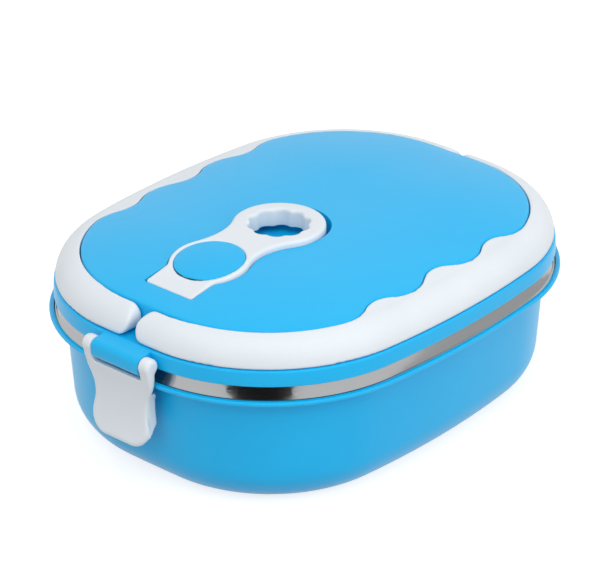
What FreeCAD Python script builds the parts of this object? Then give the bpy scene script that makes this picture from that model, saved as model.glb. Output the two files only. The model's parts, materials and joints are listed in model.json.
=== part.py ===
import FreeCAD, Part
import math
import os
import re

import Sketcher

# A lunch box with rounded sides: a moulded outer shell round a pressed steel tray, and a lid with two
# fold-up handles, two clip latches and a vent lever. +Z is up, X is the long way, and the origin is the
# middle of the base. The latch at -X is the front one. All sizes are millimetres.

DIMENSIONS = {
    # Plan of the rim: two end arcs, two side arcs and four corner arcs. Other plans are insets of it.
    "half_length": 105.0,
    "half_width": 83.4,
    "end_radius": 880.0,
    "side_radius": 384.0,
    "corner_radius": 69.5,
    # Outer shell
    "rim_top": 51.4,
    "lip_radius": 0.95,
    "collar_inset": 6.6,
    "collar_round": 4.4,
    "wall_draft": 3.8,
    "shell_wall": 2.4,
    "base_round": 17.5,
    "floor_reach": 42.0,
    "foot_rise": 0.8,
    "liner_bed": 0.9,
    "flange_gap": 0.3,
    "bed_gap": 0.1,
    # Steel tray
    "sheet": 0.7,
    "flange_inset": 2.2,
    "bead_inset": 7.2,
    "bead_radius": 1.5,
    "bead_top": 57.6,
    "flange_land": 0.6,
    "tray_inset": 12.0,
    "tray_shoulder": 51.6,
    "tray_round": 15.0,
    "tray_floor": 6.0,
    # Lid shell
    "skirt_bottom": 57.0,
    "skirt_inset": 2.0,
    "skirt_round": 0.6,
    "ledge_top": 63.4,
    "ledge_inset": 3.3,
    "ledge_round": 1.0,
    "skirt_wall": 2.2,
    "lid_plate": 2.4,
    # Latch barrel and latch
    "latch_reach": 106.9,
    "latch_axis_z": 59.5,
    "barrel_radius": 3.0,
    "barrel_length": 24.4,
    "barrel_drop": 2.0,
    "barrel_root": 5.0,
    "barrel_web_inset": 3.2,
    "barrel_web_rise": 1.6,
    "latch_pin_radius": 1.3,
    "latch_pin_length": 32.2,
    "ear_radius": 3.4,
    "ear_low_z": 55.0,
    "latch_width": 34.8,
    "latch_gap": 0.3,
    "latch_rim_gap": 0.9,
    "latch_slot_bottom": 53.9,
    "latch_curve": 60.0,
    "latch_plate": 2.2,
    "latch_flare": 3.4,
    "latch_bottom": 23.4,
    "latch_edge_round": 1.6,
    "waist_half": 13.8,
    "waist_z": 40.0,
    "skirt_half": 14.8,
    "skirt_z": 31.5,
    "latch_side_wall": 1.6,
    "lobe_low_z": 27.0,
    "lobe_z": 38.5,
    "lobe_round": 22.0,
    "lobe_top": 47.0,
    "lobe_top_round": 2.2,
    "hook_top": 48.9,
    "hook_reach": 3.2,
    "hook_height": 4.9,
    "hook_nose": 1.2,
    "hook_root": 4.2,
    "hook_half": 9.0,
    # Raised panel
    "panel_inset": 13.2,
    "panel_edge_z": 74.5,
    "panel_top": 79.5,
    "panel_fall": 0.1,
    "crown_reach": 68.0,
    "panel_edge_round": 1.1,
    "wave_pitch": 35.0,
    "wave_crest": 68.2,
    "wave_depth": 5.2,
    "wave_tip_radius": 14.5,
    "wave_cut": 4.0,
    "panel_skin": 2.4,
    "hollow_inset": 25.2,
    # Handles
    "handle_gap": 0.45,
    "handle_bottom": 63.6,
    "handle_outer_inset": 2.9,
    "handle_round": 11.0,
    "handle_foot_round": 1.0,
    "handle_reach": 25.0,
    "handle_end_gap": 3.2,
    "handle_corner": 4.5,
    "corner_past": 0.3,
    "handle_pin_radius": 2.0,
    "handle_pin_hold": 6.5,
    "handle_pin_bear": 3.4,
    "pin_end_gap": 0.4,
    # Vent lever, button and plug
    "button_x": -57.0,
    "head_x": -17.2,
    "ring_radius": 16.0,
    "head_radius": 18.5,
    "head_rim": 1.8,
    "neck_radius": 25.0,
    "tab_end_x": -80.0,
    "tab_half_width": 12.0,
    "tab_corner": 1.5,
    "tab_notch": 4.0,
    "lever_proud": 2.3,
    "lever_bottom": 72.8,
    "lever_edge_round": 1.3,
    "lever_axis_x": -76.5,
    "lever_axis_z": 75.0,
    "lever_pin_radius": 1.2,
    "lever_pin_length": 29.0,
    "finger_hole_radius": 11.0,
    "finger_lobes": 10,
    "finger_lobe_radius": 2.9,
    "finger_lobe_depth": 1.1,
    "finger_hole_round": 1.2,
    "well_floor": 71.4,
    "well_gap": 0.5,
    "well_heel_gap": 1.2,
    "well_crescent": 2.5,
    "tub_wall": 2.6,
    "tub_floor": 2.5,
    "button_radius": 14.5,
    "button_gap": 0.3,
    "button_sink": 0.2,
    "button_thick": 2.6,
    "button_dome": 0.7,
    "button_round": 0.6,
    "cup_floor": 74.6,
    "stem_radius": 2.5,
    "stem_gap": 0.3,
    "plug_radius": 3.4,
    "plug_depth": 3.1,
    "plug_skin": 0.8,
    "plug_collar": 0.6,
    "plug_lip_radius": 4.3,
    "plug_lip_depth": 1.7,
    "plug_lip_height": 0.8,
    "vent_land_radius": 4.7,
    "vent_lead": 0.7,
    "vent_chamber_radius": 7.0,
    "vent_hole_radius": 2.5,
    "spring_radius": 8.0,
    "spring_wire": 0.6,
    "spring_turns": 1.75,
    "spring_seat": 0.05,
    # Inner cover and seal
    "cover_inset": 12.4,
    "cover_bottom": 54.2,
    "cover_plate": 2.0,
    "cover_round": 2.0,
    "cover_flange_inset": 9.9,
    "cover_flange_bottom": 58.3,
    "seal_inset": 5.5,
    "seal_bottom": 57.9,
    "seal_lip": 0.8,
    "seal_lip_back": 0.2,
    "seal_lip_toe": 0.5,
    # Fits, and how far joined pieces lap and cuts run past a face
    "running_fit": 0.06,
    "ring_lap": 1.0,
    "cut_past": 1.0,
}

NODES = (
    "outer_shell", "steel_liner", "lid_shell", "lid_top_panel", "lid_inner_cover", "lid_seal",
    "near_handle", "far_handle", "handle_pins", "front_latch", "rear_latch", "front_latch_pin",
    "rear_latch_pin", "vent_lever", "vent_lever_pin", "vent_button", "vent_spring", "vent_plug",
)

doc = FreeCAD.newDocument("LunchBox")
sheet = doc.addObject("Spreadsheet::Sheet", "Dims")
for row, (alias, size) in enumerate(DIMENSIONS.items(), start=1):
    sheet.set(f"A{row}", alias)
    sheet.set(f"B{row}", str(size))
    sheet.setAlias(f"B{row}", alias)
doc.recompute()

ALIAS = re.compile(r"\b(" + "|".join(DIMENSIONS) + r")\b")


def value(text):
    """The number that a formula of sheet names gives."""
    result = sheet.evalExpression(bound(text))
    return float(getattr(result, "Value", result))


def bound(text):
    """The same formula as the document's expressions write it."""
    return ALIAS.sub(r"Dims.\1", str(text))


def new_body(label):
    body = doc.addObject("PartDesign::Body", label)
    body.Label = label
    return body


def sketch_on(body, role, shift=("0", "0", "0")):
    """A sketch on one of the body's own planes, moved by shift in the sketch's own directions."""
    sketch = body.newObject("Sketcher::SketchObject", "Sketch")
    plane = next(feature for feature in body.Origin.OriginFeatures if feature.Role == role)
    sketch.AttachmentSupport = [(plane, "")]
    sketch.MapMode = "FlatFace"
    for axis, distance in zip("xyz", shift):
        if distance != "0":
            sketch.setExpression(f"AttachmentOffset.Base.{axis}", bound(distance))
    return sketch


def bind(sketch, constraint, formula):
    index = sketch.addConstraint(constraint)
    sketch.setExpression(f"Constraints[{index}]", bound(formula))


def arc_between(start, end, radius):
    """The short arc from start to end; it turns left if radius is above zero, and right if below."""
    chord = end - start
    left = FreeCAD.Vector(-chord.y, chord.x, 0).normalize()
    rise = math.sqrt(max(radius ** 2 - chord.Length ** 2 / 4, 0))
    centre = (start + end) * 0.5 + left * math.copysign(rise, radius)
    first, last = (start, end) if radius > 0 else (end, start)
    angles = [math.atan2(point.y - centre.y, point.x - centre.x) for point in (first, last)]
    if angles[1] <= angles[0]:
        angles[1] += 2 * math.pi
    return Part.ArcOfCircle(Part.Circle(centre, FreeCAD.Vector(0, 0, 1), abs(radius)), *angles)


def draw_loop(sketch, steps):
    """Draw a closed loop of lines and arcs, with every corner bound to the sheet.

    A step is (x, y), the end of a line, or (x, y, radius), the end of an arc that turns left, or right
    where the radius starts with a minus sign.
    """
    corners = [FreeCAD.Vector(value(step[0]), value(step[1]), 0) for step in steps]
    first = sketch.GeometryCount
    ends = []
    for index, step in enumerate(steps):
        start, end = corners[index - 1], corners[index]
        if len(step) == 2:
            sketch.addGeometry(Part.LineSegment(start, end))
            ends.append((1, 2))
        else:
            radius = value(step[2])
            sketch.addGeometry(arc_between(start, end, radius))
            ends.append((1, 2) if radius > 0 else (2, 1))
    count = len(steps)
    for index, step in enumerate(steps):
        here = first + index
        after = first + (index + 1) % count
        last = ends[index][1]
        after_start = ends[(index + 1) % count][0]
        sketch.addConstraint(Sketcher.Constraint("Coincident", here, last, after, after_start))
        for kind, axis, formula, size in (("DistanceX", -2, step[0], corners[index].x),
                                          ("DistanceY", -1, step[1], corners[index].y)):
            if abs(size) < 1e-9:
                sketch.addConstraint(Sketcher.Constraint("PointOnObject", here, last, axis))
            else:
                bind(sketch, Sketcher.Constraint(kind, -1, 1, here, last, size), formula)
        if len(step) == 3:
            bind(sketch, Sketcher.Constraint("Radius", here, abs(value(step[2]))), step[2].lstrip("-"))


def mirrored(steps):
    """The same loop on the other side of the sketch's upright axis."""
    def other_turn(radius):
        return radius[1:] if radius.startswith("-") else f"-{radius}"

    return [(f"-({step[0]})", step[1], *map(other_turn, step[2:])) for step in steps]


def draw_circle(sketch, x, y, radius):
    index = sketch.addGeometry(Part.Circle(FreeCAD.Vector(value(x), value(y), 0), FreeCAD.Vector(0, 0, 1),
                                           value(radius)))
    for kind, axis, formula in (("DistanceX", -2, x), ("DistanceY", -1, y)):
        if abs(value(formula)) < 1e-9:
            sketch.addConstraint(Sketcher.Constraint("PointOnObject", index, 3, axis))
        else:
            bind(sketch, Sketcher.Constraint(kind, -1, 1, index, 3, value(formula)), formula)
    bind(sketch, Sketcher.Constraint("Radius", index, value(radius)), radius)


def draw_chain(sketch, circles, grow="0"):
    """Draw the closed line of arcs that touches each circle in turn, moved outwards by grow.

    A circle is (centre, radius, turn); turn is 1 where the line bulges out, and -1 where it bends in.
    """
    radii = [value(f"{radius} + {turn} * ({grow})") for _, radius, turn in circles]
    signed = [radius * turn for radius, (_, _, turn) in zip(radii, circles)]
    count = len(circles)
    joints = []
    for index in range(count):
        centre, after = circles[index][0], circles[(index + 1) % count][0]
        normal = (centre - after) * (1 / (signed[(index + 1) % count] - signed[index]))
        joints.append(centre + normal * signed[index])
    first = sketch.GeometryCount
    for index, (centre, radius, turn) in enumerate(circles):
        start, end = joints[index - 1], joints[index]
        if turn < 0:
            start, end = end, start
        angles = [math.atan2(point.y - centre.y, point.x - centre.x) for point in (start, end)]
        if angles[1] <= angles[0]:
            angles[1] += 2 * math.pi
        circle = Part.Circle(centre, FreeCAD.Vector(0, 0, 1), radii[index])
        sketch.addGeometry(Part.ArcOfCircle(circle, *angles))
    for index, (centre, radius, turn) in enumerate(circles):
        after = (index + 1) % count
        last = 2 if turn > 0 else 1
        start = 1 if circles[after][2] > 0 else 2
        sketch.addConstraint(Sketcher.Constraint("Coincident", first + index, last, first + after, start))
        size = Sketcher.Constraint("Radius", first + index, radii[index])
        bind(sketch, size, f"{radius} + {turn} * ({grow})")


def meet(first, first_reach, second, second_reach):
    """The point at the two given distances from two points, on the right of the way between them."""
    along = second - first
    span = along.Length
    along.normalize()
    run = (first_reach ** 2 - second_reach ** 2 + span ** 2) / (2 * span)
    side = math.sqrt(first_reach ** 2 - run ** 2)
    return first + along * run + FreeCAD.Vector(along.y, -along.x, 0) * side


def four_way(end, quadrant, middle):
    """A whole outline from its +X end circle, its circles in the +X +Y quarter, and its +Y circle."""
    def turned(circle, x_sign, y_sign):
        centre, radius, turn = circle
        return FreeCAD.Vector(centre.x * x_sign, centre.y * y_sign, 0), radius, turn

    circles = [end]
    circles += [turned(circle, 1, 1) for circle in quadrant] + [turned(middle, 1, 1)]
    circles += [turned(circle, -1, 1) for circle in reversed(quadrant)] + [turned(end, -1, 1)]
    circles += [turned(circle, -1, -1) for circle in quadrant] + [turned(middle, 1, -1)]
    circles += [turned(circle, 1, -1) for circle in reversed(quadrant)]
    return circles


end_centre = FreeCAD.Vector(value("half_length - end_radius"), 0, 0)
side_centre = FreeCAD.Vector(0, value("half_width - side_radius"), 0)
corner_centre = meet(side_centre, value("side_radius - corner_radius"),
                     end_centre, value("end_radius - corner_radius"))
RIM = four_way((end_centre, "end_radius", 1),
               [(corner_centre, "corner_radius", 1)],
               (side_centre, "side_radius", 1))

# The panel keeps the rim's ends and corners. Along each side, three rounded points of the handle reach in
# between four lobes of the panel.
lobe_and_tip = value("(wave_pitch ^ 2 / 4 + wave_depth ^ 2) / (2 * wave_depth)")
LOBE = f"({lobe_and_tip} - wave_tip_radius)"
tip_y = value("wave_crest - wave_depth + wave_tip_radius")
lobe_y = value(f"wave_crest - {LOBE}")
pitch = value("wave_pitch")
outer_tip = FreeCAD.Vector(pitch, tip_y, 0)
outer_lobe = meet(corner_centre, value(f"corner_radius - panel_inset - {LOBE}"),
                  outer_tip, lobe_and_tip)
PANEL = four_way((end_centre, "end_radius - panel_inset", 1),
                 [(corner_centre, "corner_radius - panel_inset", 1),
                  (outer_lobe, LOBE, 1),
                  (outer_tip, "wave_tip_radius", -1),
                  (FreeCAD.Vector(pitch / 2, lobe_y, 0), LOBE, 1)],
                 (FreeCAD.Vector(0, tip_y, 0), "wave_tip_radius", -1))


def rim_path(body):
    """The rim's plan as a path for sweeping; the sections are drawn where it crosses +X."""
    sketch = sketch_on(body, "XY_Plane")
    draw_chain(sketch, RIM)
    return sketch


def ring(body, steps):
    """Sweep a section round the rim. A step is (inset from the rim, height), with a radius for an arc."""
    section = sketch_on(body, "XZ_Plane")
    draw_loop(section, [(f"half_length - ({step[0]})", *step[1:]) for step in steps])
    feature = body.newObject("PartDesign::AdditivePipe", "Ring")
    feature.Profile = section
    feature.Spine = (rim_path(body), [])
    return feature


def pad(body, sketch, length, side="One side", reverse=False):
    feature = body.newObject("PartDesign::Pad", "Pad")
    feature.Profile = sketch
    feature.SideType = side
    feature.Reversed = reverse
    feature.setExpression("Length", bound(length))
    doc.recompute()
    return feature


def pocket(body, sketch, length, side="One side", reverse=False):
    """Cut a sketch's area out of the body, and stop if it removes nothing."""
    doc.recompute()
    before = body.Shape.Volume
    feature = body.newObject("PartDesign::Pocket", "Pocket")
    feature.Profile = sketch
    feature.SideType = side
    feature.Reversed = reverse
    feature.setExpression("Length", bound(length))
    doc.recompute()
    if not body.Shape.Volume < before - 1e-3:
        raise RuntimeError(f"{body.Label}: {feature.Name} removes nothing")
    return feature


def revolve(body, x, steps):
    """Turn a section, given as (radius, height) steps, about the upright line at x."""
    section = sketch_on(body, "XZ_Plane", (x, "0", "0"))
    draw_loop(section, steps)
    feature = body.newObject("PartDesign::Revolution", "Turned")
    feature.Profile = section
    feature.ReferenceAxis = (section, ["V_Axis"])
    doc.recompute()
    return feature


def plan_plate(body, inset, bottom, height):
    """A flat plate of the rim's plan, inset, that closes the middle of a ring."""
    sketch = sketch_on(body, "XY_Plane", ("0", "0", bottom))
    draw_chain(sketch, RIM, f"-({inset})")
    return pad(body, sketch, height)


def round_edges(body, radius, wanted):
    doc.recompute()
    tip = body.Tip
    names = [f"Edge{index}" for index, edge in enumerate(tip.Shape.Edges, start=1) if wanted(edge)]
    if not names:
        raise RuntimeError(f"{body.Label}: no edge to round")
    feature = body.newObject("PartDesign::Fillet", "Rounding")
    feature.Base = (tip, names)
    feature.setExpression("Radius", bound(radius))
    doc.recompute()
    return feature


COLLAR_LOW = "(rim_top - 2 * lip_radius - collar_round)"
WALL_LOW = "(base_round * (1 - sin(wall_draft * 1 deg)))"
WALL_LOW_INSET = f"(collar_inset + ({COLLAR_LOW} - {WALL_LOW}) * tan(wall_draft * 1 deg))"
BASE_FLAT_INSET = f"({WALL_LOW_INSET} + base_round * cos(wall_draft * 1 deg))"


def make_outer_shell():
    """The moulded body: a rounded base, drafted walls and a flared collar that ends in a rounded lip."""
    body = new_body("outer_shell")
    ring(body, [
        ("floor_reach", "0"),
        (BASE_FLAT_INSET, "0"),
        (WALL_LOW_INSET, WALL_LOW, "base_round"),
        ("collar_inset", COLLAR_LOW),
        ("collar_inset - collar_round", "rim_top - 2 * lip_radius", "-collar_round"),
        ("lip_radius", "rim_top - 2 * lip_radius"),
        ("0", "rim_top - lip_radius", "lip_radius"),
        ("lip_radius", "rim_top", "lip_radius"),
        ("flange_inset - flange_gap", "rim_top"),
        ("flange_inset - flange_gap", "rim_top - liner_bed"),
        ("collar_inset + shell_wall", "rim_top - liner_bed"),
        ("collar_inset + shell_wall", COLLAR_LOW),
        (f"{WALL_LOW_INSET} + shell_wall", WALL_LOW),
        (BASE_FLAT_INSET, "shell_wall", "-(base_round - shell_wall)"),
        ("floor_reach", "shell_wall"),
    ])
    plan_plate(body, "floor_reach - ring_lap", "foot_rise", "shell_wall - foot_rise")
    return body


TRAY_LOW = "(tray_floor + sheet + tray_round * (1 - sin(wall_draft * 1 deg)))"
TRAY_LOW_INSET = f"(tray_inset + (tray_shoulder - {TRAY_LOW}) * tan(wall_draft * 1 deg))"
TRAY_FLAT_INSET = f"({TRAY_LOW_INSET} + tray_round * cos(wall_draft * 1 deg))"
BEAD_SPRING = "(bead_top - bead_radius)"
FLANGE_Z = "(rim_top - liner_bed + bed_gap)"


def make_steel_liner():
    """The pressed tray: a flange on the shell's collar, a slope up to a bead for the seal, and a pan."""
    body = new_body("steel_liner")
    ring(body, [
        ("floor_reach", "tray_floor"),
        (TRAY_FLAT_INSET, "tray_floor"),
        (f"{TRAY_LOW_INSET} - sheet", TRAY_LOW, "tray_round + sheet"),
        ("tray_inset - sheet", "tray_shoulder"),
        ("bead_inset + bead_radius - sheet", BEAD_SPRING),
        ("bead_inset", "bead_top - sheet", "bead_radius - sheet"),
        ("bead_inset - bead_radius + sheet", BEAD_SPRING, "bead_radius - sheet"),
        ("flange_inset + flange_land + sheet", FLANGE_Z),
        ("flange_inset", FLANGE_Z),
        ("flange_inset", f"{FLANGE_Z} + sheet"),
        ("flange_inset + flange_land", f"{FLANGE_Z} + sheet"),
        ("bead_inset - bead_radius", BEAD_SPRING),
        ("bead_inset", "bead_top", "bead_radius"),
        ("bead_inset + bead_radius", BEAD_SPRING, "bead_radius"),
        ("tray_inset", "tray_shoulder"),
        (TRAY_LOW_INSET, TRAY_LOW),
        (TRAY_FLAT_INSET, "tray_floor + sheet", "-tray_round"),
        ("floor_reach", "tray_floor + sheet"),
    ])
    plan_plate(body, "floor_reach - ring_lap", "tray_floor", "sheet")
    return body


PLATE_BOTTOM = "(ledge_top - lid_plate)"


def make_lid_shell():
    """The lid moulding: a skirt over the steel band, a ledge for the handles, and two latch barrels."""
    body = new_body("lid_shell")
    ring(body, [
        ("skirt_inset + skirt_wall", "skirt_bottom"),
        ("skirt_inset + skirt_round", "skirt_bottom"),
        ("skirt_inset", "skirt_bottom + skirt_round", "skirt_round"),
        ("ledge_inset - ledge_round", "ledge_top - ledge_round"),
        ("ledge_inset", "ledge_top", "ledge_round"),
        ("floor_reach", "ledge_top"),
        ("floor_reach", PLATE_BOTTOM),
        ("ledge_inset + skirt_wall - ledge_round", PLATE_BOTTOM),
    ])
    plan_plate(body, "floor_reach - ring_lap", PLATE_BOTTOM, "lid_plate")
    barrels = sketch_on(body, "XZ_Plane")
    barrel = [
        ("half_length - barrel_root", "ledge_top"),
        ("latch_reach", "latch_axis_z + barrel_radius"),
        ("latch_reach + barrel_radius", "latch_axis_z", "-barrel_radius"),
        ("latch_reach + barrel_radius", "latch_axis_z - barrel_drop"),
        ("latch_reach", "latch_axis_z - barrel_drop - barrel_radius", "-barrel_radius"),
        ("half_length - barrel_web_inset", "skirt_bottom + barrel_web_rise"),
    ]
    draw_loop(barrels, barrel)
    draw_loop(barrels, mirrored(barrel))
    pad(body, barrels, "barrel_length", "Symmetric")
    bores = sketch_on(body, "XZ_Plane")
    for sign in ("-", ""):
        draw_circle(bores, f"{sign}latch_reach", "latch_axis_z", "latch_pin_radius")
    pocket(body, bores, "barrel_length + 2 * cut_past", "Symmetric")
    vent = sketch_on(body, "XY_Plane", ("0", "0", "ledge_top"))
    draw_circle(vent, "button_x", "0", "vent_chamber_radius")
    pocket(body, vent, "lid_plate")
    return body


CROWN_RUN = "(crown_reach - panel_inset)"
CROWN_RISE = "(panel_top - panel_edge_z)"
CROWN = f"(({CROWN_RUN} ^ 2 + {CROWN_RISE} ^ 2) / (2 * {CROWN_RISE}))"


def crown_drop(inset):
    """How far the panel's top has fallen below its middle at an inset from the rim."""
    run = value(f"crown_reach - ({inset})")
    return value(CROWN) - math.sqrt(value(CROWN) ** 2 - run ** 2)


def as_text(size):
    return f"({size:.6f})"


def draw_lever(sketch, grow="0", heel="0"):
    """The lever's plan: a square tab, the button's ring, a neck and a round head, grown by grow."""
    button = FreeCAD.Vector(value("button_x"), 0, 0)
    head = FreeCAD.Vector(value("head_x"), 0, 0)
    wide = value(f"tab_half_width + {grow}")
    ring_size = value(f"ring_radius + {grow}")
    head_size = value(f"head_radius + {grow}")
    neck = meet(button, value("ring_radius + neck_radius"), head, value("head_radius + neck_radius"))
    notch_y = value("tab_half_width + tab_notch")
    notch_back = math.sqrt(value("ring_radius + tab_notch") ** 2 - notch_y ** 2)
    notch = FreeCAD.Vector(button.x - notch_back, -notch_y, 0)
    on_ring = button + (notch - button).normalize() * ring_size
    leaves_ring = button + (neck - button).normalize() * ring_size
    joins_head = head + (neck - head).normalize() * head_size
    end = f"tab_end_x - {grow} - {heel}"
    across = f"(tab_half_width + {grow})"
    lower = [
        (as_text(notch.x), f"-{across}"),
        (as_text(on_ring.x), as_text(on_ring.y), f"-(tab_notch - {grow})"),
        (as_text(leaves_ring.x), as_text(leaves_ring.y), f"(ring_radius + {grow})"),
        (as_text(joins_head.x), as_text(joins_head.y), f"-(neck_radius - {grow})"),
        (f"head_x + head_radius + {grow}", "0", f"(head_radius + {grow})"),
    ]
    upper = [
        (as_text(joins_head.x), as_text(-joins_head.y), f"(head_radius + {grow})"),
        (as_text(leaves_ring.x), as_text(-leaves_ring.y), f"-(neck_radius - {grow})"),
        (as_text(on_ring.x), as_text(-on_ring.y), f"(ring_radius + {grow})"),
        (as_text(notch.x), across, f"-(tab_notch - {grow})"),
    ]
    tab = [
        (f"{end} + tab_corner", across),
        (end, f"{across} - tab_corner", "tab_corner"),
        (end, f"-({across} - tab_corner)"),
        (f"{end} + tab_corner", f"-{across}", "tab_corner"),
    ]
    draw_loop(sketch, lower + upper + tab)


def make_panel_core():
    """The panel's hollow: it follows the crown at the skin's depth, and leaves the lever's tub standing."""
    core = new_body("PanelCore")
    crown_centre = "(panel_top - " + CROWN + ")"
    skin_radius = f"({CROWN} - panel_skin)"
    edge_z = f"{crown_centre} + sqrt({skin_radius} ^ 2 - (crown_reach - hollow_inset) ^ 2)"
    ring(core, [
        ("crown_reach", "ledge_top - cut_past"),
        ("hollow_inset", "ledge_top - cut_past"),
        ("hollow_inset", edge_z),
        ("crown_reach", "panel_top - panel_skin", skin_radius),
    ])
    plan_plate(core, "crown_reach - ring_lap", "ledge_top - cut_past",
               "panel_top - panel_skin - ledge_top + cut_past")
    tub = sketch_on(core, "XY_Plane", ("0", "0", "well_floor - tub_floor"))
    draw_lever(tub, "(well_gap + tub_wall)", "well_heel_gap")
    pocket(core, tub, "panel_top - well_floor + tub_floor", reverse=True)
    return core


def make_lid_top_panel():
    """The raised panel: crowned, with a wavy edge, hollow below, and a tub for the vent lever."""
    body = new_body("lid_top_panel")
    ring(body, [
        ("crown_reach", "ledge_top"),
        ("panel_inset - ring_lap", "ledge_top"),
        ("panel_inset - ring_lap", "panel_edge_z - panel_fall"),
        ("panel_inset", "panel_edge_z"),
        ("crown_reach", "panel_top", CROWN),
    ])
    plan_plate(body, "crown_reach", "ledge_top", "panel_top - ledge_top")
    waves = sketch_on(body, "XY_Plane", ("0", "0", "ledge_top"))
    draw_chain(waves, RIM, "-(panel_inset - wave_cut)")
    draw_chain(waves, PANEL)
    pocket(body, waves, "panel_top - ledge_top + cut_past", reverse=True)
    round_edges(body, "panel_edge_round", on_panel_edge)
    hollow = body.newObject("PartDesign::Boolean", "Hollow")
    hollow.Type = "Cut"
    hollow.setObjects([make_panel_core()])
    boss = sketch_on(body, "XY_Plane", ("0", "0", "ledge_top"))
    draw_circle(boss, "button_x", "0", "vent_chamber_radius + tub_wall")
    pad(body, boss, "well_floor - ledge_top - ring_lap")
    well = sketch_on(body, "XY_Plane", ("0", "0", "well_floor"))
    draw_lever(well, "well_gap", "well_heel_gap")
    pocket(body, well, "panel_top - well_floor + cut_past", reverse=True)
    crescent = sketch_on(body, "XY_Plane", ("0", "0", "well_floor"))
    draw_circle(crescent, "head_x + well_crescent", "0", "head_radius + well_gap")
    pocket(body, crescent, "panel_top - well_floor + cut_past", reverse=True)
    pin = sketch_on(body, "XZ_Plane")
    draw_circle(pin, "lever_axis_x", "lever_axis_z", "lever_pin_radius")
    pocket(body, pin, "lever_pin_length", "Symmetric")
    for sign, reverse in (("-", True), ("", False)):
        pins = sketch_on(body, "YZ_Plane", ("0", "0", f"{sign}(half_length - panel_inset + cut_past)"))
        for side in ("-", ""):
            draw_circle(pins, f"{side}{PIVOT_Y}", PIVOT_Z, "handle_pin_radius")
        pocket(body, pins, "handle_pin_hold + cut_past", reverse=reverse)
    vent = sketch_on(body, "XZ_Plane", ("button_x", "0", "0"))
    draw_loop(vent, [
        ("0", "ledge_top"),
        ("vent_chamber_radius", "ledge_top"),
        ("vent_chamber_radius", "well_floor - tub_floor"),
        ("vent_land_radius", "well_floor - tub_floor"),
        ("vent_land_radius", "well_floor - vent_lead"),
        ("vent_land_radius + vent_lead", "well_floor"),
        ("0", "well_floor"),
    ])
    groove = body.newObject("PartDesign::Groove", "Vent")
    groove.Profile = vent
    groove.ReferenceAxis = (vent, ["V_Axis"])
    doc.recompute()
    return body


def on_panel_edge(edge):
    """Whether an edge runs along the top of the panel's wavy side wall."""
    tops = [face for face in doc.getObject("lid_top_panel").Tip.Shape.Faces
            if face.BoundBox.ZMin > value("panel_edge_z - panel_edge_round")]
    walls = [face for face in doc.getObject("lid_top_panel").Tip.Shape.Faces
             if face.BoundBox.ZMin < value("ledge_top + panel_edge_round")
             and face.BoundBox.ZMax > value("panel_edge_z - panel_edge_round")]
    return (any(edge.isSame(side) for wall in walls for side in wall.Edges)
            and any(edge.isSame(side) for top in tops for side in top.Edges))


def make_lid_inner_cover():
    """The plate that closes the lid from below, with a flange that holds the seal and a vent tube."""
    body = new_body("lid_inner_cover")
    ring(body, [
        ("floor_reach", "cover_bottom"),
        ("cover_inset + cover_round", "cover_bottom"),
        ("cover_inset", "cover_bottom + cover_round", "cover_round"),
        ("cover_inset", "cover_flange_bottom"),
        ("cover_flange_inset", "cover_flange_bottom"),
        ("cover_flange_inset", PLATE_BOTTOM),
        ("cover_inset + cover_plate", PLATE_BOTTOM),
        ("cover_inset + cover_plate", "cover_bottom + cover_plate"),
        ("floor_reach", "cover_bottom + cover_plate"),
    ])
    plan_plate(body, "floor_reach - ring_lap", "cover_bottom", "cover_plate")
    tube = sketch_on(body, "XY_Plane", ("0", "0", "cover_bottom"))
    draw_circle(tube, "button_x", "0", "vent_chamber_radius + tub_wall")
    pad(body, tube, f"{PLATE_BOTTOM} - cover_bottom")
    chamber = sketch_on(body, "XY_Plane", ("0", "0", "cover_bottom + cover_plate"))
    draw_circle(chamber, "button_x", "0", "vent_chamber_radius")
    pocket(body, chamber, f"{PLATE_BOTTOM} - cover_bottom", reverse=True)
    hole = sketch_on(body, "XY_Plane", ("0", "0", "cover_bottom"))
    draw_circle(hole, "button_x", "0", "vent_hole_radius")
    pocket(body, hole, "cover_plate + cut_past", reverse=True)
    return body


def make_lid_seal():
    """The silicone ring in the lid's groove, with a lip on each side of the tray's bead."""
    body = new_body("lid_seal")
    ring(body, [
        ("cover_flange_inset - bed_gap", "seal_bottom - seal_lip"),
        ("cover_flange_inset - bed_gap", PLATE_BOTTOM),
        ("seal_inset", PLATE_BOTTOM),
        ("seal_inset", "seal_bottom"),
        ("bead_inset + bead_radius - seal_lip_back", "seal_bottom"),
        ("bead_inset + bead_radius + seal_lip_toe", "seal_bottom - seal_lip"),
    ])
    return body


PIVOT_R = "((panel_edge_z - handle_bottom) / 2)"
PIVOT_Y = f"(handle_end_gap / 2 + {PIVOT_R})"
PIVOT_Z = f"(handle_bottom + {PIVOT_R})"


HANDLE_CREST = ("(handle_outer_inset + sqrt(handle_round ^ 2"
                " - (handle_bottom + handle_foot_round + handle_round - panel_edge_z) ^ 2))")
HALF_TURN = FreeCAD.Placement(FreeCAD.Vector(), FreeCAD.Rotation(FreeCAD.Vector(0, 0, 1), 180))


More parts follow.
